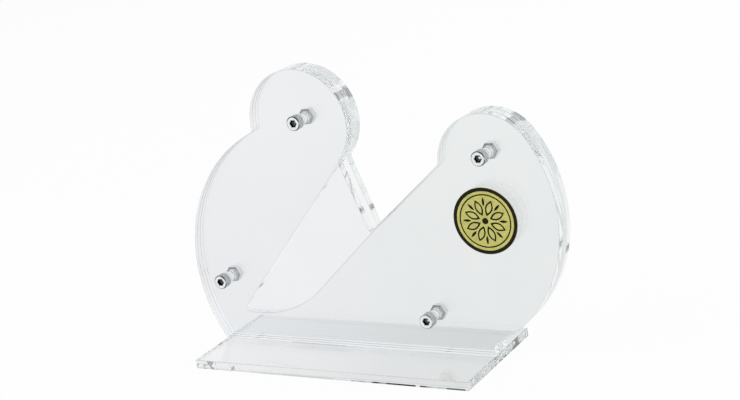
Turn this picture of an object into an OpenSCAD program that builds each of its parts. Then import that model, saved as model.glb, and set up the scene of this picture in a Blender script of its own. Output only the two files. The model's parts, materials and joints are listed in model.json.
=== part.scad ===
// Display stand for one knife: three clear acrylic plates screwed together, upright on a clear base plate.
// X runs along the base, Y from the front to the back, Z up. The origin is under the middle of the stand.

/* [Base plate] */
// Length of the base plate
base_w = 205; // [180:1:240]
// Depth of the base plate, front to back
base_d = 92; // [70:1:120]
// Thickness of the base plate
base_t = 6; // [4:0.5:12]
// Distance from the front edge of the base plate to the face of the front plate
body_setback = 41; // [30:0.5:50]

/* [Body plates] */
// Thickness of the front plate
front_t = 6; // [4:0.5:10]
// Thickness of the middle plate, which sets how thick a blade the pocket takes
core_t = 6; // [4:0.5:8]
// Thickness of the rear plate
rear_t = 6; // [4:0.5:10]

/* [Outline] */
// Radius of the big round shoulder on the left
left_bulge_r = 103.5; // [100:0.5:108]
// Distance of that shoulder's centre from the middle of the base, towards the left
left_bulge_x = 14.5; // [8:0.5:20]
// Height of that shoulder's centre above the table
left_bulge_z = 60; // [52:0.5:66]
// Radius of the round lobe on top of the left shoulder
left_lobe_r = 36.5; // [30:0.5:40]
// Distance of the left lobe's centre from the middle of the base, towards the left
left_lobe_x = 19.8; // [14:0.2:26]
// Height of the left lobe's centre above the table
left_lobe_z = 160.2; // [154:0.2:166]
// Radius of the big round shoulder on the right
right_bulge_r = 94.5; // [90:0.5:98]
// Distance of that shoulder's centre from the middle of the base, towards the right
right_bulge_x = 62; // [56:0.5:66]
// Height of that shoulder's centre above the table
right_bulge_z = 99; // [94:0.5:102]
// Radius of the smaller lobe that runs smoothly into the right shoulder
right_lobe_r = 33.5; // [28:0.5:38]
// Direction of the right lobe from the shoulder's centre, in degrees above level
right_lobe_angle = 35; // [30:0.5:40]
// Radius of the inner corners of the outline
corner_r = 3; // [2:0.5:4]

/* [Notch] */
// Distance of the notch's lowest point from the middle of the base, towards the right
notch_x = 22.7; // [18:0.1:28]
// Height of the notch's lowest point above the table
notch_z = 87.2; // [82:0.1:96]
// Direction of the steep left flank, in degrees above level
notch_left_angle = 109.1; // [106:0.1:112]
// Direction of the gentle right flank, in degrees above level
notch_right_angle = 40.2; // [37:0.1:43]
// Radius at the bottom of the notch
notch_tip_r = 1.5; // [1:0.5:3]

/* [Blade pocket] */
// Direction of the pocket's upper edge, in degrees above level
pocket_upper_angle = 49.2; // [48:0.1:50.5]
// Direction of the pocket's lower edge, which carries the blade
pocket_lower_angle = 42.5; // [41:0.1:44]
// Height of the pocket's level floor above the table
pocket_floor_z = 25; // [20:0.5:30]
// Radius of the curve under the belly of the blade
pocket_belly_r = 70; // [55:1:75]
// Radius of the pocket's closed corner
pocket_corner_r = 3; // [2:0.5:4]

/* [Screws and nuts] */
// Diameter of the screw shank
screw_d = 6; // [4:0.5:8]
// Length of the screw under its head
screw_l = 25; // [23:0.5:30]
// Diameter of the round screw head
head_d = 10; // [8:0.5:12]
// Height of the screw head
head_h = 6; // [4:0.5:8]
// Width of the hexagon socket, flat to flat
socket_w = 5; // [3:0.5:6]
// Depth of the hexagon socket
socket_deep = 3; // [1.5:0.1:3.5]
// Width of the nut, flat to flat
nut_w = 10; // [9:0.5:13]
// Height of the nut
nut_h = 5; // [3.5:0.5:7]
// Clearance round the shank in the plates, measured on the diameter
shank_clearance = 0.6; // [0.2:0.1:1]
// Clearance round the shank in the nut, measured on the diameter
thread_clearance = 0.2; // [0.1:0.05:0.4]
// Place of the upper left screw, from the middle of the base and above the table
screw_upper_left = [-19.4, 162]; // [-120:0.1:170]
// Place of the lower left screw
screw_lower_left = [-96.8, 49.1]; // [-120:0.1:170]
// Place of the upper right screw
screw_upper_right = [109.9, 140.1]; // [-120:0.1:170]
// Place of the lower right screw
screw_lower_right = [58.8, 29.7]; // [-120:0.1:170]

/* [Round label plate] */
// Diameter of the label plate
label_d = 44; // [30:1:50]
// Thickness of the label plate
label_t = 0.6; // [0.5:0.1:2]
// Middle of the label plate, from the middle of the base and above the table
label_at = [107.2, 98.1]; // [80:0.1:120]

/* [Hidden] */
// Overshoot that carries a cut clear through a face
cut = 1;
// Length by which the edges of the pocket run on into the open notch
mouth = 9;
// A circle that only touches an edge runs this far into it, so that the two cross cleanly
bite = 0.02;
// Far enough to lie outside the outline on every side
far = 400;
// Faces on a full turn
round_fn = 180;
small_fn = 64;
// Colours of the clear sheet, the plated steel and the label
clear_tint = [0.86, 0.91, 0.91, 0.35];
steel_tint = [0.78, 0.79, 0.8];
label_tint = [0.12, 0.11, 0.08];

// The body hangs over the ends of the base plate, so the middle of the stand is not that of the base
left_edge = -left_bulge_x - left_bulge_r;
right_edge = right_bulge_x + right_bulge_r;
middle_x = (left_edge + right_edge) / 2;

// Planes of the body from front to back
front_y = body_setback - base_d / 2;
core_y = front_y + front_t;
rear_y = core_y + core_t;
back_y = rear_y + rear_t;

// Centres of the four round forms
left_bulge_c = [-left_bulge_x, left_bulge_z];
left_lobe_c = [-left_lobe_x, left_lobe_z];
right_bulge_c = [right_bulge_x, right_bulge_z];
right_lobe_c = right_bulge_c + (right_bulge_r - right_lobe_r) * dir(right_lobe_angle);
notch_tip = [notch_x, notch_z];
foot_right_x = base_w / 2;

// Unit vector at an angle, and the length of a vector
function dir(a) = [cos(a), sin(a)];
function len2(v) = sqrt(v[0] * v[0] + v[1] * v[1]);
function unit(v) = v / len2(v);
function side(v) = [-v[1], v[0]];
function dot(a, b) = a[0] * b[0] + a[1] * b[1];

// Where circles ca, ra and cb, rb meet, on the left of the way from ca to cb
function circles_meet(ca, ra, cb, rb) =
    let (d = len2(cb - ca), k = (d * d + ra * ra - rb * rb) / (2 * d))
    ca + k * unit(cb - ca) + sqrt(ra * ra - k * k) * side(unit(cb - ca));

// Centre of a circle of radius r that lies beside a line through p along a and outside circle c, rc
function line_circle_centre(p, a, r, c, rc, s) =
    let (q = p + r * side(dir(a)) - c, b = dot(q, dir(a)))
    p + r * side(dir(a)) + (s * sqrt(b * b - dot(q, q) + (rc + r) * (rc + r)) - b) * dir(a);

// Foot of the square line from point m to the line through p along a
function foot_on(p, a, m) = p + dot(m - p, dir(a)) * dir(a);

// Fills an inner corner: the web between two touching points and the circle that rounds it,
// named counter-clockwise from the circle's centre m
module inner_corner(m, touch_a, touch_b, deep_point, r) {
    difference() {
        polygon([m, touch_a, deep_point, touch_b]);
        translate(m)
            circle(r = r + bite, $fn = small_fn);
    }
}

// Rounds the corner at p between straight edges along a and b, with b the larger angle
module straight_corner(p, a, b, r) {
    m = p + (r / sin((b - a) / 2)) * dir((a + b) / 2);
    inner_corner(m, foot_on(p, b, m), foot_on(p, a, m), p - r * dir((a + b) / 2), r);
}

// The two big shoulders and the straight foot between them, before the notch
module shoulders() {
    translate(left_bulge_c)
        circle(r = left_bulge_r, $fn = round_fn);
    translate(right_bulge_c)
        circle(r = right_bulge_r, $fn = round_fn);
    translate([0, base_t])
        square([foot_right_x, right_bulge_z - base_t]);
}

// Everything above the body: the notch between the lobes and the air beside them
module notch() {
    left_stop = foot_on(notch_tip, notch_left_angle, left_lobe_c);
    right_stop = foot_on(notch_tip, notch_right_angle, right_lobe_c);
    polygon([notch_tip, right_stop, right_lobe_c, right_lobe_c + far * dir(right_lobe_angle),
             [far, far], [-left_lobe_x, far], left_lobe_c, left_stop]);
}

// Round inner corner where the left lobe stands on the left shoulder
module lobe_corner() {
    m = circles_meet(left_bulge_c, left_bulge_r + corner_r, left_lobe_c, left_lobe_r + corner_r);
    valley = circles_meet(left_bulge_c, left_bulge_r, left_lobe_c, left_lobe_r);
    inner_corner(m, m + corner_r * unit(left_bulge_c - m), m + corner_r * unit(left_lobe_c - m),
                 valley + corner_r * unit(left_lobe_c - m), corner_r);
}

// Round inner corner where the steep left flank of the notch meets the left lobe
module left_flank_corner() {
    m = line_circle_centre(notch_tip, notch_left_angle, -corner_r,
                           left_lobe_c, left_lobe_r + 2 * corner_r, -1);
    on_flank = foot_on(notch_tip, notch_left_angle, m);
    inner_corner(m, m + corner_r * unit(left_lobe_c - m), on_flank,
                 on_flank + corner_r * unit(left_lobe_c - m), corner_r);
}

// Round inner corner where the gentle right flank meets the right lobe
module right_flank_corner() {
    m = line_circle_centre(notch_tip, notch_right_angle, corner_r, right_lobe_c, right_lobe_r, -1);
    on_flank = foot_on(notch_tip, notch_right_angle, m);
    inner_corner(m, on_flank, m + corner_r * unit(right_lobe_c - m),
                 on_flank + corner_r * unit(right_lobe_c - m), corner_r);
}

// Round inner corner at the lower right, where the shoulder meets the upright end of the foot
module foot_corner() {
    across = foot_right_x + corner_r - right_bulge_x;
    m = [foot_right_x + corner_r, right_bulge_z - sqrt(pow(right_bulge_r + corner_r, 2) - pow(across, 2))];
    inner_corner(m, m + corner_r * unit(right_bulge_c - m), [foot_right_x, m[1]],
                 [foot_right_x - corner_r, m[1] + corner_r], corner_r);
}

// Outline that all three body plates share, standing on the base plate.
// The middle plate has no left flank, because the pocket opens there, so it has no corners to round on it.
module body_outline(with_left_flank) {
    difference() {
        union() {
            difference() {
                shoulders();
                notch();
            }
            translate(left_lobe_c)
                circle(r = left_lobe_r, $fn = round_fn);
            // Touches the shoulder from inside, and runs a little proud to cross it cleanly
            translate(right_lobe_c)
                circle(r = right_lobe_r + bite, $fn = round_fn);
            lobe_corner();
            right_flank_corner();
            foot_corner();
            if (with_left_flank) {
                left_flank_corner();
                straight_corner(notch_tip, notch_right_angle, notch_left_angle, notch_tip_r);
            }
        }
        translate([-far, base_t - far])
            square([2 * far, far]);
    }
}

// Room for the blade: a sheath-shaped space that opens into the left flank of the notch
module pocket_outline() {
    upper = dir(pocket_upper_angle);
    lower = dir(pocket_lower_angle);
    // The lower edge crosses the right flank beside the notch's lowest point, and the upper edge
    // starts at the top of the left flank
    lower_start = notch_tip + notch_tip_r * dir(notch_right_angle);
    upper_start = flank_top();
    // Where both edges meet the level floor
    lower_end = lower_start - (lower_start[1] - pocket_floor_z) / lower[1] * lower;
    upper_end = upper_start - (upper_start[1] - pocket_floor_z) / upper[1] * upper;
    difference() {
        // Both edges run on into the open notch
        polygon([lower_start + mouth * lower, upper_start + mouth * upper, upper_end, lower_end]);
        straight_corner(upper_end, 0, pocket_upper_angle, pocket_corner_r);
        // The blade's belly lies in a wide curve between the floor and the lower edge
        straight_corner(lower_end, pocket_lower_angle, 180, pocket_belly_r);
    }
}

// Point where the left flank would meet the left lobe
function flank_top() =
    let (q = notch_tip - left_lobe_c, u = dir(notch_left_angle), b = dot(q, u))
    notch_tip + (-b - sqrt(b * b - dot(q, q) + left_lobe_r * left_lobe_r)) * u;

// Moves a flat outline in X and Z to a plate of thickness t whose front face lies at y
module plate(y, t) {
    translate([-middle_x, y + t, 0])
        rotate([90, 0, 0])
            linear_extrude(height = t)
                children();
}

// Holes for all four screws
module screw_holes() {
    for (at = [screw_upper_left, screw_lower_left, screw_upper_right, screw_lower_right])
        translate(at)
            circle(d = screw_d + shank_clearance, $fn = small_fn);
}

module base_plate() {
    color(clear_tint)
        translate([-middle_x - base_w / 2, -base_d / 2, 0])
            cube([base_w, base_d, base_t]);
}

module front_plate() {
    color(clear_tint)
        plate(front_y, front_t)
            difference() {
                body_outline(true);
                screw_holes();
            }
}

module core_plate() {
    color(clear_tint)
        plate(core_y, core_t)
            difference() {
                body_outline(false);
                pocket_outline();
                screw_holes();
            }
}

module rear_plate() {
    color(clear_tint)
        plate(rear_y, rear_t)
            difference() {
                body_outline(true);
                screw_holes();
            }
}

// Socket head cap screw, its head seated on the front plate and its shank through to the nut
module cap_screw(at) {
    color(steel_tint)
        translate([at[0] - middle_x, front_y, at[1]])
            rotate([-90, 0, 0]) {
                cylinder(d = screw_d, h = screw_l, $fn = small_fn);
                translate([0, 0, -head_h])
                    difference() {
                        cylinder(d = head_d, h = head_h, $fn = small_fn);
                        translate([0, 0, -cut])
                            cylinder(d = socket_w / cos(30), h = socket_deep + cut, $fn = 6);
                    }
            }
}

// Hexagon nut on the back of the rear plate
module hex_nut(at) {
    color(steel_tint)
        translate([at[0] - middle_x, back_y, at[1]])
            rotate([-90, 0, 0])
                difference() {
                    cylinder(d = nut_w / cos(30), h = nut_h, $fn = 6);
                    translate([0, 0, -cut])
                        cylinder(d = screw_d + thread_clearance, h = nut_h + 2 * cut, $fn = small_fn);
                }
}

module label_plate() {
    color(label_tint)
        plate(front_y - label_t, label_t)
            translate(label_at)
                circle(d = label_d, $fn = round_fn);
}

base_plate();
front_plate();
core_plate();
rear_plate();
cap_screw(screw_upper_left);
cap_screw(screw_lower_left);
cap_screw(screw_upper_right);
cap_screw(screw_lower_right);
hex_nut(screw_upper_left);  // nut_upper_left
hex_nut(screw_lower_left);  // nut_lower_left
hex_nut(screw_upper_right);  // nut_upper_right
hex_nut(screw_lower_right);  // nut_lower_right
label_plate();
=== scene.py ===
import json
import math
import random

import bmesh
import bpy
from mathutils import Matrix, Vector
from mathutils.geometry import tessellate_polygon

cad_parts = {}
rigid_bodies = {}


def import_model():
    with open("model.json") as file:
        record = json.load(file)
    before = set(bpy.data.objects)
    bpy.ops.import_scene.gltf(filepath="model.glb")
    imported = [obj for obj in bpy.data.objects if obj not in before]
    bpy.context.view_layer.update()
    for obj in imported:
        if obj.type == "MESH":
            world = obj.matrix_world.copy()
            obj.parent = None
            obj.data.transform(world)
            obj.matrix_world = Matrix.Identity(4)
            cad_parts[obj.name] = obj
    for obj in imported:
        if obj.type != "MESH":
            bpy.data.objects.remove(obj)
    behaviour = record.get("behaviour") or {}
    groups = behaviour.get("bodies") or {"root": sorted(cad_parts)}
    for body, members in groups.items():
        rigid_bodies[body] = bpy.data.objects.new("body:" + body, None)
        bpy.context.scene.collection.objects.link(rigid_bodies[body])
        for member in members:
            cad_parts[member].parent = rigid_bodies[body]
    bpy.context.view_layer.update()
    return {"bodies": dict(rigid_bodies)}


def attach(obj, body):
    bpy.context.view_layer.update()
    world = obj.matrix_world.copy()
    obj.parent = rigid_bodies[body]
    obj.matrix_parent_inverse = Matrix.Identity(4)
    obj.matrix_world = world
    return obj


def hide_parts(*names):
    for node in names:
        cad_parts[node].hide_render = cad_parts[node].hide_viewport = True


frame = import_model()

MM = 0.001
BODY = next(iter(frame["bodies"]))
scene = bpy.context.scene

# ------------------------------------------------ sizes in millimetres, as in the part's source

# The middle of the whole stand, which is the origin of the frame
MIDDLE_X = 19.25
BASE_W, BASE_D, BASE_T = 205.0, 92.0, 6.0
# Where the three body sheets begin along Y, and where the last one ends
FRONT_Y, CORE_Y, REAR_Y, BACK_Y = -5.0, 1.0, 7.0, 13.0
LEFT_BULGE, LEFT_BULGE_R = Vector((-14.5, 60.0)), 103.5
LEFT_LOBE, LEFT_LOBE_R = Vector((-19.8, 160.2)), 36.5
RIGHT_BULGE, RIGHT_BULGE_R = Vector((62.0, 99.0)), 94.5
RIGHT_LOBE_R, RIGHT_LOBE_ANGLE = 33.5, 35.0
# The rounded inner corners of the outline
CORNER_R = 3.0
# The notch: where its flanks would meet, their angles, and the radius of its tip
TIP, LEFT_FLANK, RIGHT_FLANK, TIP_R = Vector((22.7, 87.2)), 109.1, 40.2, 1.5
# The pocket in the core sheet: the angles of its flanks, its floor's height, its two bends
POCKET_UPPER, POCKET_LOWER, POCKET_FLOOR = 49.2, 42.5, 25.0
BELLY_R, POCKET_R = 70.0, 3.0
SCREWS = {
    "upper_left": (-19.4, 162.0),
    "lower_left": (-96.8, 49.1),
    "upper_right": (109.9, 140.1),
    "lower_right": (58.8, 29.7),
}
SHANK_D, SCREW_L, HEAD_D, HEAD_H = 6.0, 25.0, 10.0, 6.0
SOCKET_W, SOCKET_DEEP, PITCH = 5.0, 3.0, 1.0
NUT_W, NUT_H = 10.0, 5.0
HOLE_D = 6.6
LABEL_AT, LABEL_D = (107.2, 98.1), 44.0

# ------------------------------------------------ sizes in millimetres that only the looks have

# Air between sheets that only touch, air under the base sheet, and the round on a polished edge
AIR, UNDER, EDGE = 0.035, 0.03, 0.35
# Every outline lies this much inside the solids' own
SKIN = 0.04
# How deep the facets of a sawn end and the thread of a tapped hole are
SAW_DEPTH, TAP_DEPTH = 0.3, 0.27
# A sawn end has this many facets along it, and a rim with sides this many bands
TEETH, BANDS = 84, 6
# The longest steps on large, middling and small arcs, and the widest step in radians
LARGE, MIDDLING, SMALL, TINY = 0.8, 0.6, 0.25, 0.2
WIDEST = 0.14
# Where each stretch along X of the front sheet's foot and of the base plate's front edge
# begins, and how much painted contact shadow it holds
SHEET_FOOT = ((-102.8, 0.1), (-50.0, 0.6), (-8.0, 0.3), (5.0, 0.0), (48.0, 0.15))
BASE_FOOT = ((-90.0, 0.12), (-52.0, 0.35), (5.0, 0.05), (18.0, 0.55), (33.0, 1.0), (65.0, 0.0),
             (68.0, 0.95), (78.0, 0.4), (87.0, 0.9), (100.0, 0.2))
# Painted shade on an edge of the front sheet that faces straight left
LEFT_SHADE = 0.3
# Sides of a sheet: how strongly each is a rim, how far it is sawn, and its painted shade
PLAIN, POLISHED = (1.0, 0.0, 0.0), (0.3, 0.0, 0.0)
CORNER_CHIP, FRONT_CHIP = (0.5, 0.4, 0.1), (0.5, 0.8, 0.1)
# The stretches of chips from the base plate's front left corner on
CHIPS, CHIP_FROM, CHIP_W = 6, 3.0, 1.5
# How dark the socket's floor and the head's round edge are painted on each screw, as painted
# shade; a low value on the floor leaves a painted glint
MARKS = {
    "upper_left": (0.8, 1.0),
    "lower_left": (1.0, 0.9),
    "upper_right": (0.1, 0.9),
    "lower_right": (0.4, 0.6),
}
# The label's layers: how far before the front sheet each begins and ends, and its round edge
FILM, BACKING, PRINT = (0.42, 0.12, 0.12), (0.11, 0.02, 0.03), (0.47, 0.40, 0.03)
# The printed rings, by how far inside the film's edge they begin and end
RINGS = ((0.15, 2.5, 144), (4.3, 5.2, 128))


# ------------------------------------------------ outlines of the sheets

def along(a):
    return Vector((math.cos(math.radians(a)), math.sin(math.radians(a))))


def left_of(v):
    return Vector((-v.y, v.x))


def foot_on(p, a, m):
    """The point nearest to m on the line through p along a."""
    return p + (m - p).dot(along(a)) * along(a)


def circles_meet(ca, ra, cb, rb):
    d = cb - ca
    k = (d.length_squared + ra * ra - rb * rb) / (2 * d.length)
    u = d.normalized()
    return ca + k * u + math.sqrt(ra * ra - k * k) * left_of(u)


def beside(p, a, r, c, reach, s):
    """Centre at distance r beside the line through p along a, and at distance reach from c."""
    start = p + r * left_of(along(a))
    q = start - c
    b = q.dot(along(a))
    return start + (s * math.sqrt(b * b - q.dot(q) + reach * reach) - b) * along(a)


def arc(c, r, start, stop, turn, step=LARGE):
    """Points on the way from start to stop round c, both included."""
    a = math.atan2(start.y - c.y, start.x - c.x)
    b = math.atan2(stop.y - c.y, stop.x - c.x)
    sweep = turn * ((turn * (b - a)) % (2 * math.pi))
    n = max(3, math.ceil(abs(sweep) * r / step), math.ceil(abs(sweep) / WIDEST))
    angles = [a + sweep * i / n for i in range(n + 1)]
    return [c + r * Vector((math.cos(v), math.sin(v))) for v in angles]


def touch(m, c, r):
    """The point at distance r from m towards c."""
    return m + r * (c - m).normalized()


def on_circle(c, r, z, side):
    return Vector((c.x + side * math.sqrt(r * r - (z - c.y) ** 2), z))


RIGHT_LOBE = RIGHT_BULGE + (RIGHT_BULGE_R - RIGHT_LOBE_R) * along(RIGHT_LOBE_ANGLE)


def notch_side():
    """The outline from the right lobe's corner round the notch's tip to the left lobe."""
    half = (LEFT_FLANK - RIGHT_FLANK) / 2
    tip = TIP + TIP_R / math.sin(math.radians(half)) * along((LEFT_FLANK + RIGHT_FLANK) / 2)
    left = beside(TIP, LEFT_FLANK, -CORNER_R, LEFT_LOBE, LEFT_LOBE_R + CORNER_R, -1)
    lobe_start = touch(left, LEFT_LOBE, CORNER_R)
    p = arc(tip, TIP_R, foot_on(TIP, RIGHT_FLANK, tip), foot_on(TIP, LEFT_FLANK, tip), -1, TINY)
    p += arc(left, CORNER_R, foot_on(TIP, LEFT_FLANK, left), lobe_start, -1, SMALL)
    return p, lobe_start


def pocket_side():
    """The same stretch where the pocket is cut out."""
    lower_start = TIP + TIP_R * along(RIGHT_FLANK)
    down = along(POCKET_LOWER)
    lower_end = lower_start - (lower_start.y - POCKET_FLOOR) / down.y * down
    q = TIP - LEFT_LOBE
    u = along(LEFT_FLANK)
    b = q.dot(u)
    top = TIP + (-b - math.sqrt(b * b - q.dot(q) + LEFT_LOBE_R ** 2)) * u
    up = along(POCKET_UPPER)
    upper_end = top - (top.y - POCKET_FLOOR) / up.y * up
    wide = math.sin(math.radians((180 - POCKET_LOWER) / 2))
    belly = lower_end + BELLY_R / wide * along((180 + POCKET_LOWER) / 2)
    narrow = math.sin(math.radians(POCKET_UPPER / 2))
    corner = upper_end + POCKET_R / narrow * along(POCKET_UPPER / 2)
    lobe_start = top - 2 * (top - LEFT_LOBE).dot(up) * up
    p = [lower_start]
    p += arc(belly, BELLY_R, foot_on(lower_end, POCKET_LOWER, belly),
             Vector((belly.x, POCKET_FLOOR)), -1)
    p += arc(corner, POCKET_R, Vector((corner.x, POCKET_FLOOR)),
             foot_on(upper_end, POCKET_UPPER, corner), -1, SMALL)
    p += [lobe_start]
    return p, lobe_start


def body_loop(with_left_flank, bottom):
    """The outline of a body sheet, counter-clockwise from its lower left corner."""
    lower_left = on_circle(LEFT_BULGE, LEFT_BULGE_R, bottom, -1)
    foot_x = BASE_W / 2
    reach = RIGHT_BULGE_R + CORNER_R
    foot = Vector((foot_x + CORNER_R, 0))
    foot.y = RIGHT_BULGE.y - math.sqrt(reach ** 2 - (foot.x - RIGHT_BULGE.x) ** 2)
    smooth = RIGHT_BULGE + RIGHT_BULGE_R * along(RIGHT_LOBE_ANGLE)
    right = beside(TIP, RIGHT_FLANK, CORNER_R, RIGHT_LOBE, RIGHT_LOBE_R + CORNER_R, -1)
    valley = circles_meet(LEFT_BULGE, LEFT_BULGE_R + CORNER_R, LEFT_LOBE, LEFT_LOBE_R + CORNER_R)
    on_foot = touch(foot, RIGHT_BULGE, CORNER_R)
    on_right = touch(right, RIGHT_LOBE, CORNER_R)
    above, below = touch(valley, LEFT_LOBE, CORNER_R), touch(valley, LEFT_BULGE, CORNER_R)
    p = [lower_left, Vector((foot_x, bottom))]
    p += arc(foot, CORNER_R, Vector((foot_x, foot.y)), on_foot, -1, SMALL)
    p += arc(RIGHT_BULGE, RIGHT_BULGE_R, on_foot, smooth, 1)[1:]
    p += arc(RIGHT_LOBE, RIGHT_LOBE_R, smooth, on_right, 1, MIDDLING)[1:]
    p += arc(right, CORNER_R, on_right, foot_on(TIP, RIGHT_FLANK, right), -1, SMALL)[1:]
    inner, lobe_start = notch_side() if with_left_flank else pocket_side()
    p += inner
    p += arc(LEFT_LOBE, LEFT_LOBE_R, lobe_start, above, 1, MIDDLING)[1:]
    p += arc(valley, CORNER_R, above, below, -1, SMALL)[1:]
    p += arc(LEFT_BULGE, LEFT_BULGE_R, below, lower_left, 1)[1:-1]
    return p


def ring(c, r, n=64, turn=1):
    angles = [turn * 2 * math.pi * i / n for i in range(n)]
    return [Vector((c[0] + r * math.cos(a), c[1] + r * math.sin(a))) for a in angles]


def petal(c, angle, r0, r1, width, turn=1):
    """A pointed leaf shape between two radii."""
    u, v = along(angle), left_of(along(angle))
    n = 14

    def at(i, base, reach, side):
        bow = width / 2 * math.sin(math.pi * i / n) ** 0.9
        return c + (base + reach * i / n) * u + side * bow * v

    up = [at(i, r0, r1 - r0, 1) for i in range(n + 1)]
    down = [at(i, r1, r0 - r1, -1) for i in range(1, n)]
    loop = up + down
    return loop if turn < 0 else loop[::-1]


# ------------------------------------------------ meshes

def finish_mesh(name, bm, sharp=14):
    """Turns a bmesh into a piece: outward normals, smooth faces, and sharp edges where the
    surface turns by more than that many degrees."""
    bmesh.ops.recalc_face_normals(bm, faces=bm.faces)
    for f in bm.faces:
        f.smooth = True
    for e in bm.edges:
        e.smooth = len(e.link_faces) == 2 and e.calc_face_angle(0) < math.radians(sharp)
    mesh = bpy.data.meshes.new(name)
    bm.to_mesh(mesh)
    bm.free()
    ob = bpy.data.objects.new(name, mesh)
    scene.collection.objects.link(ob)
    return ob


def inset(loop, d):
    """The loop pulled in by d, to the left of its direction."""
    n = len(loop)
    out = [(loop[(i + 1) % n] - loop[i]).normalized() for i in range(n)]
    out = [Vector((v.y, -v.x)) for v in out]
    # The factor keeps the width at a corner, and is held down where the corner is sharp
    return [p - (out[i - 1] + out[i]) / max(0.4, 1 + out[i - 1].dot(out[i])) * d
            for i, p in enumerate(loop)]


def slab(bm, loops, low, high, place, edge=EDGE, steps=3, sides=None, tapping=False):
    """A sheet between two planes with rounded edges. loops: outline counter-clockwise, holes
    clockwise. Each face is marked as rim or edge, so that the material can tell them apart.
    sides says for each segment of the outline how strongly it is a rim, how far it is sawn and
    how much painted shade darkens its first edge. A sawn side is broken up into small facets,
    and with tapping the holes have threads."""
    layers = bm.faces.layers.float
    rim, edge_and_shade, sawn = (layers.get(k) or layers.new(k) for k in ("rim", "edge", "sawn"))
    chance = random.Random(5)
    caps = [[], []]
    for loop in loops:
        n = len(loop)
        side = sides if sides and loop is loops[0] else [PLAIN] * n
        tapped = tapping and loop is not loops[0]
        turn = [math.pi / 2 * k / steps for k in range(steps + 1)]
        rows = [(edge * (1 - math.sin(t)), low + edge * (1 - math.cos(t))) for t in turn]
        parts = BANDS if sides else BANDS * round(high - low) if tapped else 1
        rows += [(None, low + edge + (high - low - 2 * edge) * k / parts) for k in range(1, parts)]
        rows += [(edge * (1 - math.sin(t)), high - edge * (1 - math.cos(t)))
                 for t in reversed(turn)]
        made = []
        for pull, w in rows:
            if pull is not None:
                line = inset(loop, pull)
            else:
                if tapped:
                    # A shallow helical thread with its crests towards the screw
                    cut = [-TAP_DEPTH * (1 - abs(2 * ((w / PITCH + i / n) % 1) - 1))
                           for i in range(n)]
                else:
                    cut = [min(side[i - 1][1], side[i][1]) * chance.uniform(0, SAW_DEPTH)
                           for i in range(n)]
                line = [p + (q - p) * c for p, q, c in zip(loop, inset(loop, 1), cut)]
            made.append([bm.verts.new(place(p.x, p.y, w)) for p in line])
        for k, (a, b) in enumerate(zip(made, made[1:])):
            for i in range(n):
                f = bm.faces.new((a[i], a[(i + 1) % n], b[(i + 1) % n], b[i]))
                f[rim], f[sawn], painted_dark = side[i]
                # Painted shade reaches from the edge on to the first band of the rim
                f[edge_and_shade] = (1 + painted_dark if k < steps + (painted_dark > 0)
                           else float(k >= len(made) - 1 - steps))
        caps[0].append(made[0])
        caps[1].append(made[-1])
    inner = [[p.to_3d() for p in inset(loop, edge)] for loop in loops]
    tris = tessellate_polygon(inner)
    for cap in caps:
        flat = [v for row in cap for v in row]
        for t in tris:
            bm.faces.new([flat[i] for i in t])


def upright(x, z, y):
    return Vector(((x - MIDDLE_X) * MM, y * MM, z * MM))


def level(x, y, z):
    return Vector(((x - MIDDLE_X) * MM, y * MM, z * MM))


def plate(name, low, high, with_left_flank, tapping=False, foot=None):
    """A body sheet. foot: where along X each stretch of its foot begins, and its painted shade."""
    bm = bmesh.new()
    holes = [ring(c, HOLE_D / 2, 48, -1) for c in SCREWS.values()]
    loop = inset(body_loop(with_left_flank, BASE_T + AIR), SKIN)
    sides = None
    if foot:
        bottom = loop[0].y
        loop[1:1] = [Vector((x, bottom)) for x, _ in foot[1:]]
        sides = [(1.0, 0.0, painted_dark) for _, painted_dark in foot]
        # The edges that face left are a little darkened too, as painted shade
        for a, b in zip(loop[len(foot):], loop[len(foot) + 1:] + loop[:1]):
            faces_left = (a - b).normalized().y
            sides.append((1.0, 0.0, LEFT_SHADE * max(0.0, faces_left)))
    slab(bm, [loop] + holes, low, high, upright, sides=sides, tapping=tapping)
    return finish_mesh(name, bm)


def base(name):
    """The base sheet: its long edges are polished, and its ends are as sawn, but for the
    stretch where the body stands."""
    half_w, half_d = BASE_W / 2 - SKIN, BASE_D / 2 - SKIN
    end = [half_d * (2 * i / TEETH - 1) for i in range(TEETH)]
    outline = [Vector((half_w, y)) for y in end] + [Vector((half_w, half_d))]
    outline += [Vector((-half_w, -y)) for y in end]
    sides = [(1.0, float(not FRONT_Y < y < BACK_Y), 0.0) for y in end] + [POLISHED]
    sides += [(1.0, float(not FRONT_Y < -y < BACK_Y), 0.0) for y in end]
    # The front edge is chipped near its left corner, and its foot is dark in stretches, a painted
    # contact shadow
    chipped = [-half_w] + [-half_w + CHIP_FROM + CHIP_W * i for i in range(CHIPS)]
    outline += [Vector((x, -half_d)) for x in chipped + [x for x, _ in BASE_FOOT]]
    sides += [CORNER_CHIP] + [FRONT_CHIP] * CHIPS + [(0.3, 0.0, painted_dark) for _, painted_dark in BASE_FOOT]
    bm = bmesh.new()
    slab(bm, [outline], UNDER, BASE_T - AIR, level, sides=sides)
    return finish_mesh(name, bm)


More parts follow.
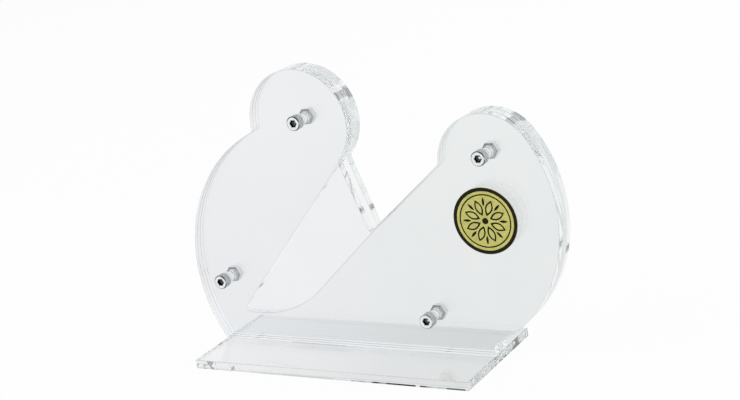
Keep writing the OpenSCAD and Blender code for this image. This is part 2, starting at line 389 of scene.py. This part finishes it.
def turned(bm, centre, rows, n, caps=(True, True)):
    """A closed shell round the axis along Y. Each row is (y, radius, shade mark): numbers, or
    functions of the angle. The shade mark gives the band that starts there painted shade, from
    bright plating (0) to a dark colour on the steel (1)."""
    dark = bm.faces.layers.float.get("metal_shade") or bm.faces.layers.float.new("metal_shade")
    made = []
    for y, r, _ in rows:
        line = []
        for i in range(n):
            a = 2 * math.pi * i / n
            rr, yy = (v(a) if callable(v) else v for v in (r, y))
            x, z = centre[0] + rr * math.cos(a), centre[1] + rr * math.sin(a)
            line.append(bm.verts.new(upright(x, z, yy)))
        made.append(line)
    for row, a, b in zip(rows, made, made[1:]):
        for i in range(n):
            mark = row[2](2 * math.pi * (i + 0.5) / n) if callable(row[2]) else row[2]
            bm.faces.new((a[i], a[(i + 1) % n], b[(i + 1) % n], b[i]))[dark] = mark
    if caps[0]:
        bm.faces.new(made[0])[dark] = rows[0][2]
    if caps[1]:
        bm.faces.new(made[-1])[dark] = rows[-1][2]
    return made


def hexagon(width):
    """Radius of a hexagon at an angle, corners on the X axis, flat to flat width."""
    return lambda a: (width / 2) / math.cos(math.radians((math.degrees(a) % 60) - 30))


def blended(f, g, t):
    return lambda a: f(a) * (1 - t) + g * t


# A screw head's ribs, the points round it, and how far its top edge is rounded
RIBS, HEAD_POINTS, ROUND = 36, 144, 0.8
# Where the round edge has painted dark reflections, and how near to such a spot, as a cosine
DARK_ARCS_AT, DARK_ARCS_WITHIN = (47, 133, -35), 0.88
# How much narrower the socket looks than the solid's
NARROWER = 0.3
# The thread: crest radius, depth, points round it, and rows to one pitch
CREST_R, THREAD_DEEP, THREAD_POINTS, THREAD_ROWS = SHANK_D / 2 - 0.04, 0.55, 40, 7


def head_rows(glint, round_shade):
    """The rows of a socket head, from the middle of the socket's floor to the shank."""
    top = FRONT_Y - HEAD_H
    r = HEAD_D / 2
    socket = hexagon(SOCKET_W - NARROWER)

    def rib(depth):
        return lambda a: r - depth * (0.5 + 0.5 * math.cos(a * RIBS))

    # Painted shade in the grooves between the ribs
    def groove(a):
        return 0.8 if math.cos(a * RIBS) > 0 else 0.1

    def angled_shade(share):
        """The round edge is painted dark in stretches, as painted reflections, and less so between
        them.
        """
        def mark(a):
            near = any(math.cos(a - math.radians(at)) > DARK_ARCS_WITHIN for at in DARK_ARCS_AT)
            return round_shade * (share if near else 0.55)
        return mark

    floor_y = top + SOCKET_DEEP
    # The third value of each row is painted shade: dark in the socket and under the head, bright
    # on the chamfer
    rows = [(floor_y + 0.9, 0.05, glint), (floor_y + 0.5, 1.0, 1),
            (floor_y, blended(socket, 2.2, 0.35), 1), (floor_y - 0.05, socket, 1),
            (top + 0.8, socket, 0.6), (top + 0.32, socket, 0.1),
            (top + 0.02, 3.02, 0), (top, 3.12, 0), (top, r - 0.85, angled_shade(0.8))]
    for k in range(1, 7):
        t = math.pi / 2 * k / 6
        mark = angled_shade(1.0) if k < 4 else 0.5 * round_shade
        rows.append((top + ROUND * (1 - math.cos(t)), r - ROUND * (1 - math.sin(t)) - 0.03, mark))
    return rows + [
        (top + 0.85, r - 0.03, 0.3), (top + 1.05, rib(0.16), groove),
        (top + 1.15, rib(0.18), groove), (FRONT_Y - 0.75, rib(0.18), groove),
        (FRONT_Y - 0.6, rib(0.16), 0.3), (FRONT_Y - 0.4, r - 0.06, 0.4),
        (FRONT_Y - 0.12, r - 0.06, 0.6), (FRONT_Y - 0.02, r - 0.3, 0.6),
        (FRONT_Y - 0.02, 2.0, 0.6)]


def cap_screw(name, centre, glint, round_shade):
    """Socket head cap screw: chamfered socket, rounded and ribbed head, and a rolled thread.
    glint is how dark the middle of the socket's floor is painted, a low value leaving a painted
    glint, and the last argument how dark the head's round edge is painted, as painted shade."""
    bm = bmesh.new()
    turned(bm, centre, head_rows(glint, round_shade), HEAD_POINTS)

    def thread(y):
        def r_at(a):
            t = ((y - FRONT_Y) / PITCH + a / (2 * math.pi)) % 1.0
            deep = min(1.0, max(0.0, 1.3 - 2.6 * abs(t - 0.5)))
            end_chamfer = max(0.0, y - (FRONT_Y + SCREW_L - 0.8)) * 0.9
            return min(CREST_R - THREAD_DEEP * (1 - deep), CREST_R - end_chamfer)
        return r_at

    rows, y = [], FRONT_Y - 0.3
    stop = FRONT_Y + SCREW_L
    while y < stop - 1e-6:
        rows.append((y, thread(y), 0))
        y += PITCH / THREAD_ROWS
    rows.append((stop, thread(stop), 0.3))
    start = len(bm.faces)
    turned(bm, centre, rows, THREAD_POINTS)
    bm.faces.ensure_lookup_table()
    dark = bm.faces.layers.float["metal_shade"]
    axis = upright(centre[0], centre[1], 0)
    for f in bm.faces[start:]:
        c = f.calc_center_median() - axis
        # Painted shade: crests are bright and roots are dark, more so where the thread is tapped
        # into the sheet
        tapped = 0.3 * (REAR_Y - 2 < c.y / MM < BACK_Y)
        f[dark] = min(1.0, max(0.0, (2.90 - math.hypot(c.x, c.z) / MM) / 0.35 + tapped))
    return finish_mesh(name, bm, sharp=28)


def hex_nut(name, centre):
    """Hexagon nut with chamfered corners and countersunk bore."""
    bm = bmesh.new()
    outer = hexagon(NUT_W)
    flat_r = NUT_W / 2 - 0.25
    slope = math.tan(math.radians(28))
    low, high = BACK_Y + 0.02, BACK_Y + NUT_H
    n = 96

    # One side of the chamfers is painted darker, as painted shade
    def angled_shade(a):
        return 0.8 if 60 < math.degrees(a) % 360 < 200 else 0.45

    def chamfer(t, y0, way):
        def r(a):
            return flat_r + (outer(a) - flat_r) * t
        return (lambda a: y0 + way * (r(a) - flat_r) * slope, r, angled_shade if t < 1 else 0.1)

    rows = [(low + 0.45, 3.02, 1), (low, 3.4, 0.1), (low, 4.1, angled_shade), (low, flat_r, angled_shade)]
    rows += [chamfer(t, low, 1) for t in (0.33, 0.66, 1.0)]
    rows += [chamfer(t, high, -1) for t in (1.0, 0.66, 0.33)]
    rows += [(high, flat_r, 0), (high, 3.4, 0.7), (high - 0.45, 3.02, 1)]
    made = turned(bm, centre, rows, n, (False, False))
    dark = bm.faces.layers.float["metal_shade"]
    # The bore joins the last row to the first, and is painted dark as shade
    near, far = made[0], made[-1]
    for i in range(n):
        bm.faces.new((near[i], near[(i + 1) % n], far[(i + 1) % n], far[i]))[dark] = 1
    return finish_mesh(name, bm, sharp=24)


# ------------------------------------------------ materials

def grey(v):
    return (v, v, v)


def shade(colour, k):
    return tuple(min(1.0, c * k) for c in colour)


class Tree:
    """Short forms for building the node tree of a material or a world."""

    def __init__(self, owner):
        owner.use_nodes = True
        self.owner = owner
        self.nt = owner.node_tree
        self.nt.nodes.clear()

    def node(self, kind, inputs=None, **props):
        """A new node. An input that is given a socket is linked to it, and others are set."""
        n = self.nt.nodes.new(kind)
        for k, v in props.items():
            setattr(n, k, v)
        for k, v in (inputs or {}).items():
            if hasattr(v, "is_output"):
                self.nt.links.new(v, n.inputs[k])
            else:
                n.inputs[k].default_value = v
        return n

    def math(self, op, *args, clamp=False):
        inputs = dict(enumerate(args))
        return self.node("ShaderNodeMath", inputs, operation=op, use_clamp=clamp).outputs[0]

    def vector(self, op, *args):
        n = self.node("ShaderNodeVectorMath", dict(enumerate(args)), operation=op)
        return n.outputs["Value" if op == "LENGTH" else "Vector"]

    def noise(self, vector, scale, detail=2.0, rough=0.5):
        return self.node("ShaderNodeTexNoise", {
            "Vector": vector, "Scale": scale, "Detail": detail, "Roughness": rough}).outputs["Fac"]

    def ramp(self, fac, stops):
        n = self.node("ShaderNodeValToRGB", {"Fac": fac})
        elements = n.color_ramp.elements
        while len(elements) < len(stops):
            elements.new(0.5)
        for e, (at, colour) in zip(elements, stops):
            e.position = at
            e.color = (*colour, 1)
        return n.outputs["Color"]

    def mix(self, fac, a, b):
        """Mixes two colours."""
        return self.node("ShaderNodeMix", {0: fac, 6: a, 7: b}, data_type="RGBA").outputs[2]

    def either(self, fac, a, b):
        """Mixes two shaders."""
        return self.node("ShaderNodeMixShader", {0: fac, 1: a, 2: b}).outputs[0]

    def bump(self, height):
        inputs = {"Strength": 1.0, "Distance": 1.0, "Height": height}
        return self.node("ShaderNodeBump", inputs).outputs[0]

    def principled(self, inputs):
        return self.node("ShaderNodeBsdfPrincipled", inputs).outputs[0]

    def attribute(self, name):
        return self.node("ShaderNodeAttribute", attribute_name=name).outputs["Fac"]

    def position(self, shift=(0, 0, 0)):
        """The place on the object, shifted so that each material has noise of its own."""
        place = self.node("ShaderNodeTexCoord").outputs["Object"]
        return self.vector("ADD", place, shift) if any(shift) else place

    def paths(self):
        return self.node("ShaderNodeLightPath").outputs


def new_material(name):
    return Tree(bpy.data.materials.new(name))


# Width of the stretch that the colours along X and Y cover
REACH = 280.0
# Painted shade on the base sheet before the body's foot: how strong at points along Y, and
# what share of it at points along X
SEAM_SHADE = ((FRONT_Y - 16, 0.0), (FRONT_Y - 2.8, 0.09), (FRONT_Y - 2.0, 0.28),
             (FRONT_Y - 0.2, 0.28), (FRONT_Y + 1, 0.0))
SEAM_SHADE_SHARE = ((-97.0, 0.4), (-50.0, 0.7), (-40.0, 1.0), (-10.0, 1.0), (8.0, 0.3), (45.0, 0.3),
              (52.0, 0.5))
# Painted shade on the sheets: their colour at points along X, darker towards the right
BODY_SHADE_BY_X = ((-60.0, (0.956, 0.960, 0.966)), (70.0, (0.947, 0.955, 0.953)))
BASE_SHADE_BY_X = ((-100.0, (0.925, 0.930, 0.928)), (-60.0, (0.890, 0.897, 0.896)),
              (0.0, (0.850, 0.857, 0.855)), (30.0, (0.812, 0.823, 0.819)),
              (100.0, (0.792, 0.806, 0.796)))
# The colour of the painted shade before the body's foot, and of scuffs and painted shade on edges
# and chips
SEAM_SHADE_COLOUR, SCUFF_AND_SHADE_COLOUR = (0.05, 0.06, 0.06, 1), (0.008, 0.010, 0.010, 1)
# What soft light and shadow keep of their colour through a surface, and the colour inside
SHADE_TINT = (0.93, 0.955, 0.95, 1)
DEEP_TINT, DENSITY = (0.83, 0.870, 0.866, 1), 0.7
ACRYLIC_IOR = 1.491


def acrylic(name, shade_by_x, wear_and_shade, seed, seam_shaded=False):
    """Clear cast acrylic: faintly wavy faces, polished rims, softly worn edges that also carry
    painted shade, chipped sawn ends with chips painted dark as shade, and painted shade along X.
    With the last flag, a painted shade lies on the sheet before the body's foot."""
    t = new_material(name)
    spot = t.node("ShaderNodeSeparateXYZ", {0: t.position()}).outputs
    pos = t.position((seed, seed * 0.37, seed * 0.71))
    rim, edge, sawn = t.attribute("rim"), t.attribute("edge"), t.attribute("sawn")

    def stretch(axis):
        return t.math("MULTIPLY_ADD", spot[axis], 1 / (REACH * MM), 0.5)

    def on_stretch(stops, middle):
        return [((v - middle) / REACH + 0.5, colour) for v, colour in stops]

    cloud = t.ramp(t.noise(pos, 22.0, 3.0), [(0.35, (0.990, 0.991, 0.993)), (0.65, grey(1))])
    across = stretch("X")
    # The colour is painted darker towards the right along X, as painted shade
    clear = t.vector("MULTIPLY", t.ramp(across, on_stretch(shade_by_x, MIDDLE_X)), cloud)
    # A painted shade on the sheet before the body's foot
    if seam_shaded:
        seam_darkening = t.ramp(stretch("Y"), on_stretch([(v, grey(c)) for v, c in SEAM_SHADE], 0))
        share = t.ramp(across, on_stretch([(v, grey(c)) for v, c in SEAM_SHADE_SHARE], MIDDLE_X))
        clear = t.mix(t.math("MULTIPLY", seam_darkening, share), clear, SEAM_SHADE_COLOUR)
    # Dust and scuffs sit on the edges, and also darken them as painted shade
    dust_and_shade = t.math("MULTIPLY_ADD", t.noise(pos, 75.0, 2.0), wear_and_shade, 0.1 * wear_and_shade, clamp=True)
    scuff_and_shade = t.math("MULTIPLY", edge, dust_and_shade)
    # The edges marked with painted shade are dark in dashes
    dash = t.math("MULTIPLY_ADD", t.noise(pos, 90.0, 1.0), 4.0, -0.5, clamp=True)
    painted_dark = t.math("MULTIPLY", dash, t.math("SUBTRACT", edge, 1.0, clamp=True))
    # Chips in the sawn ends are painted dark as shade, and lie in patches
    flake_at = t.vector("MULTIPLY", pos, (1.0, 0.45, 1.0))
    flake = t.ramp(t.noise(flake_at, 250.0, 1.5, 0.6), [(0.52, grey(0)), (0.55, grey(1))])
    patch = t.ramp(t.noise(pos, 55.0, 1.0), [(0.46, grey(0.12)), (0.53, grey(1))])
    chips = t.math("MULTIPLY", t.math("MULTIPLY", sawn, patch), t.math("MULTIPLY", flake, 0.75))
    painted_dark = t.math("MAXIMUM", painted_dark, chips)
    colour = t.mix(t.math("MAXIMUM", scuff_and_shade, painted_dark), clear, SCUFF_AND_SHADE_COLOUR)
    # Polished faces, with rims a little duller and edges duller still
    fine = t.noise(pos, 900.0, 2.0)
    rim_rough = t.math("MULTIPLY", rim, t.math("MULTIPLY_ADD", fine, 0.03, 0.005))
    edge_rough = t.math("MULTIPLY", edge, t.math("MULTIPLY_ADD", fine, 0.10, 0.03))
    sawn_rough = t.math("MULTIPLY", sawn, t.math("MULTIPLY_ADD", fine, 0.05, 0.0))
    rough = t.math("ADD", t.math("ADD", 0.004, rim_rough),
                   t.math("ADD", edge_rough, sawn_rough), clamp=True)
    # Waves in the cast faces, and the ripple that the cutter leaves across the rims
    wave = t.math("MULTIPLY", t.noise(pos, 9.0, 1.0), 0.00035)
    ripple_at = t.vector("MULTIPLY", pos, (1.0, 0.06, 1.0))
    ripple = t.math("ADD", t.math("MULTIPLY", t.noise(ripple_at, 150.0, 2.0, 0.55), 0.000014),
                    t.math("MULTIPLY", t.noise(ripple_at, 900.0, 1.0), 0.000003))
    height = t.math("ADD", wave, t.math("MULTIPLY", rim, ripple))
    glass = t.principled({
        "Base Color": colour, "Roughness": rough, "IOR": ACRYLIC_IOR, "Normal": t.bump(height),
        "Transmission Weight": t.math("SUBTRACT", 1.0, painted_dark)})
    # Soft light and shadows pass straight through
    paths = t.paths()
    soft = t.math("MAXIMUM", paths["Is Shadow Ray"], paths["Is Diffuse Ray"])
    through = t.node("ShaderNodeBsdfTransparent", {"Color": SHADE_TINT}).outputs[0]
    inside = t.node("ShaderNodeVolumeAbsorption", {"Color": DEEP_TINT, "Density": DENSITY})
    t.node("ShaderNodeOutputMaterial", {
        "Surface": t.either(soft, glass, through), "Volume": inside.outputs[0]})
    return t.owner


def plated_steel(name, base_colour, rough, seed):
    """Bright plated steel with faint stains and fine dents, painted dark as shade where the shade
    mark on its faces is high.
    """
    t = new_material(name)
    pos = t.position((seed, seed * 0.53, seed * 0.29))
    stain = t.noise(pos, 260.0, 4.0)
    bright = t.ramp(stain, [(0.25, shade(base_colour, 0.82)), (0.6, base_colour),
                            (0.85, shade(base_colour, 1.06))])
    # Painted shade: the dark colours that the marked bands take in place of bright plating
    shaded_metal = t.ramp(stain, [(0.3, (0.028, 0.045, 0.043)), (0.8, (0.075, 0.10, 0.10))])
    metal_shade = t.attribute("metal_shade")
    fine = t.noise(pos, 1900.0, 3.0)
    roughness = t.math("ADD", t.math("MULTIPLY_ADD", stain, 0.06, rough),
                       t.math("MULTIPLY", fine, 0.04), clamp=True)
    roughness = t.math("MULTIPLY_ADD", metal_shade, 0.15, roughness, clamp=True)
    steel = t.principled({
        "Base Color": t.mix(metal_shade, bright, shaded_metal), "Metallic": 1.0, "Roughness": roughness,
        "Normal": t.bump(t.math("MULTIPLY", fine, 0.00002))})
    t.node("ShaderNodeOutputMaterial", {"Surface": steel})
    return t.owner


def printed(name, base_colour, spread, rough, sheen):
    """Ink, foil or backing of the label: slight mottle and fine grain."""
    t = new_material(name)
    pos = t.position()
    colour = t.ramp(t.noise(pos, 320.0, 3.0), [(0.3, shade(base_colour, 1 - spread)),
                                               (0.7, shade(base_colour, 1 + spread))])
    grain = t.noise(pos, 2600.0, 2.0)
    print_shader = t.principled({
        "Base Color": colour, "Metallic": 0.0, "Specular IOR Level": sheen,
        "Roughness": t.math("MULTIPLY_ADD", grain, 0.18, rough, clamp=True),
        "Normal": t.bump(t.math("MULTIPLY", grain, 0.00001))})
    t.node("ShaderNodeOutputMaterial", {"Surface": print_shader})
    return t.owner


acrylic_front = acrylic("acrylic_front", BODY_SHADE_BY_X, 0.33, 0.11)
acrylic_core = acrylic("acrylic_core", BODY_SHADE_BY_X, 0.45, 1.37)
acrylic_rear = acrylic("acrylic_rear", BODY_SHADE_BY_X, 0.33, 2.71)
acrylic_base = acrylic("acrylic_base", BASE_SHADE_BY_X, 0.35, 4.19, True)
screw_steel = plated_steel("plated_screw", (0.90, 0.905, 0.915), 0.05, 0.3)
nut_steel = plated_steel("plated_nut", (0.86, 0.87, 0.88), 0.07, 1.9)
foil = printed("label_foil", (0.56, 0.53, 0.14), 0.10, 0.30, 0.35)
backing = printed("label_backing", (0.62, 0.61, 0.56), 0.06, 0.35, 0.3)
ink = printed("label_ink", (0.010, 0.009, 0.006), 0.25, 0.45, 0.12)


# ------------------------------------------------ the pieces

def dress(ob, mat, slot, *nodes):
    ob.data.materials.clear()
    ob.data.materials.append(mat)
    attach(ob, BODY)
    if nodes:
        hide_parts(*nodes)
    return ob


dress(plate("front_sheet", FRONT_Y, CORE_Y - AIR, True, foot=SHEET_FOOT),
      acrylic_front, "clear_body", "front_plate")
dress(plate("core_sheet", CORE_Y + AIR, REAR_Y - AIR, False),
      acrylic_core, "clear_body", "core_plate")
dress(plate("rear_sheet", REAR_Y + AIR, BACK_Y, True, True),
      acrylic_rear, "clear_body", "rear_plate")
dress(base("base_sheet"), acrylic_base, "clear_base", "base_plate")

for key, centre in SCREWS.items():
    dress(cap_screw("cap_screw_" + key, centre, *MARKS[key]),
          screw_steel, "screw_steel", "screw_" + key)
    dress(hex_nut("hex_nut_" + key, centre), nut_steel, "nut_steel", "nut_" + key)


def label_layer(bm, loops, layer, steps=1):
    far, near, edge = layer
    slab(bm, loops, FRONT_Y - far, FRONT_Y - near, upright, edge, steps)


# Label: a gilt disc with printed rings and a plain rosette
R = LABEL_D / 2
bm = bmesh.new()
label_layer(bm, [ring(LABEL_AT, R, 144)], FILM, 2)
dress(finish_mesh("label_film", bm), foil, "label", "label_plate")
bm = bmesh.new()
label_layer(bm, [ring(LABEL_AT, R - 0.1, 144)], BACKING)
dress(finish_mesh("label_backing", bm), backing, "label")
bm = bmesh.new()
for outer, inner, points in RINGS:
    label_layer(bm, [ring(LABEL_AT, R - outer, points), ring(LABEL_AT, R - inner, points, -1)],
                PRINT)
label_layer(bm, [ring(LABEL_AT, 2.1, 48)], PRINT)
middle = Vector(LABEL_AT)
for k in range(8):
    a = 22.5 + 45 * k
    label_layer(bm, [petal(middle, a, 3.6, 14.6, 5.2), petal(middle, a, 5.4, 13.0, 3.2, -1)],
                PRINT)
    label_layer(bm, [petal(middle, a + 22.5, 9.5, 15.6, 1.7)], PRINT)
dress(finish_mesh("label_print", bm), ink, "label")


# ------------------------------------------------ floor

# In metres: the floor's radius, and how far it lies under the stand
FLOOR_R, FLOOR_GAP = 9.0, 0.0001
# How much of what the camera and mirrored or bent rays see of the floor is plain white
WHITE_SHARE = 0.93

t = new_material("floor")
where = t.position()
grain = t.noise(where, 3.0, 3.0)
floor_colour = t.ramp(grain, [(0.3, grey(0.90)), (0.7, grey(0.92))])
diffuse = t.node("ShaderNodeBsdfDiffuse", {"Color": floor_colour}).outputs[0]
# The stand takes a little of the light from the floor under it and behind it
off = t.vector("SUBTRACT", where, (-MIDDLE_X * MM, 0, 0))
off = t.vector("SUBTRACT", t.vector("ABSOLUTE", off), (BASE_W / 2 * MM, BASE_D / 2 * MM, 0))
far = t.vector("LENGTH", t.vector("MAXIMUM", off, (0, 0, 0)))
glow = t.ramp(far, [(0.0, (0.945, 0.945, 0.95)), (0.03, (0.955, 0.955, 0.957)),
                    (0.25, grey(0.965)), (0.6, grey(1))])
paths = t.paths()
seen = t.math("MAXIMUM", paths["Is Camera Ray"], paths["Is Glossy Ray"])
seen = t.math("MAXIMUM", seen, paths["Is Transmission Ray"])
lit = t.mix(paths["Is Camera Ray"], glow, (1, 1, 1, 1))
white = t.node("ShaderNodeEmission", {"Color": lit, "Strength": 1.0}).outputs[0]
share = t.math("MULTIPLY", seen, WHITE_SHARE)
t.node("ShaderNodeOutputMaterial", {"Surface": t.either(share, diffuse, white)})
bm = bmesh.new()
bmesh.ops.create_circle(bm, cap_ends=True, segments=96, radius=FLOOR_R)
bmesh.ops.translate(bm, verts=bm.verts, vec=(0, 0, -FLOOR_GAP))
floor = finish_mesh("floor", bm)
floor.data.materials.append(t.owner)

# ------------------------------------------------ room and lamps

room = Tree(bpy.data.worlds.new("studio"))
scene.world = room.owner
direction = room.node("ShaderNodeTexCoord").outputs["Generated"]
height = room.node("ShaderNodeSeparateXYZ", {0: direction}).outputs["Z"]


def backdrop(colour, strength=1.0):
    inputs = {"Color": colour, "Strength": strength}
    return room.node("ShaderNodeBackground", inputs).outputs[0]


def sky(stops):
    """The brightness of the room by height, slightly blue."""
    ramp = room.node("ShaderNodeValToRGB", {0: height})
    elements = ramp.color_ramp.elements
    for at, v in stops:
        elements.new(at).color = (v, v * 1.01, v * 1.03, 1)
    # The two that every ramp begins with
    elements.remove(elements[0])
    elements.remove(elements[-1])
    return backdrop(ramp.outputs[0])


mirrored = sky(((0.40, 1.0), (0.54, 0.90), (0.62, 0.16), (0.90, 0.08)))
passed = sky(((0.50, 1.0), (0.66, 0.97), (0.90, 0.75)))
paths = room.paths()
seen = room.math("MAXIMUM", paths["Is Glossy Ray"], paths["Is Transmission Ray"])
soft, plain = backdrop((0.97, 0.98, 1.0, 1), 0.55), backdrop((1, 1, 1, 1))
studio = room.either(paths["Is Transmission Ray"], mirrored, passed)
unseen = room.either(seen, soft, studio)
whole = room.either(paths["Is Camera Ray"], unseen, plain)
room.node("ShaderNodeOutputWorld", {"Surface": whole})

# The middle of the stand, in metres, where the lamps point
TARGET = (0.0, 0.0, 0.09)


def lamp(name, place, size, power):
    data = bpy.data.lights.new(name, "AREA")
    data.shape, data.size, data.size_y = "RECTANGLE", size[0], size[1]
    data.energy = power
    ob = bpy.data.objects.new(name, data)
    # Metal and acrylic show the softly lit room, not the lamps
    ob.visible_glossy = ob.visible_transmission = False
    ob.location = place
    ob.rotation_euler = (Vector(TARGET) - ob.location).to_track_quat("-Z", "Y").to_euler()
    scene.collection.objects.link(ob)


lamp("key", (-0.9, -1.1, 1.5), (1.3, 1.3), 14)
lamp("fill", (1.5, -0.9, 0.9), (1.2, 1.3), 8)
lamp("back", (0.3, 1.6, 1.2), (1.4, 1.0), 8)

# ------------------------------------------------ camera, fitted to the photo

cam = bpy.data.objects.new("camera", bpy.data.cameras.new("camera"))
scene.collection.objects.link(cam)
cam.data.sensor_fit, cam.data.sensor_width, cam.data.lens = "HORIZONTAL", 36.0, 88.1004
cam.data.clip_start, cam.data.clip_end = 0.05, 50
cam.matrix_world = Matrix((
    (0.8713502, -0.0246664, 0.4900412, 0.5772688),
    (0.4723078, 0.3127723, -0.8240745, -0.9636665),
    (-0.1329444, 0.9495078, 0.2841843, 0.4402757),
    (0, 0, 0, 1)))
scene.camera = cam

scene.view_settings.view_transform = "Standard"
# Light that runs along inside a sheet bounces many times before it comes out
cycles = scene.cycles
cycles.max_bounces = cycles.glossy_bounces = cycles.transmission_bounces = 1024
# No such path is ended by chance, which would show as grain on the rims
cycles.min_light_bounces = 256
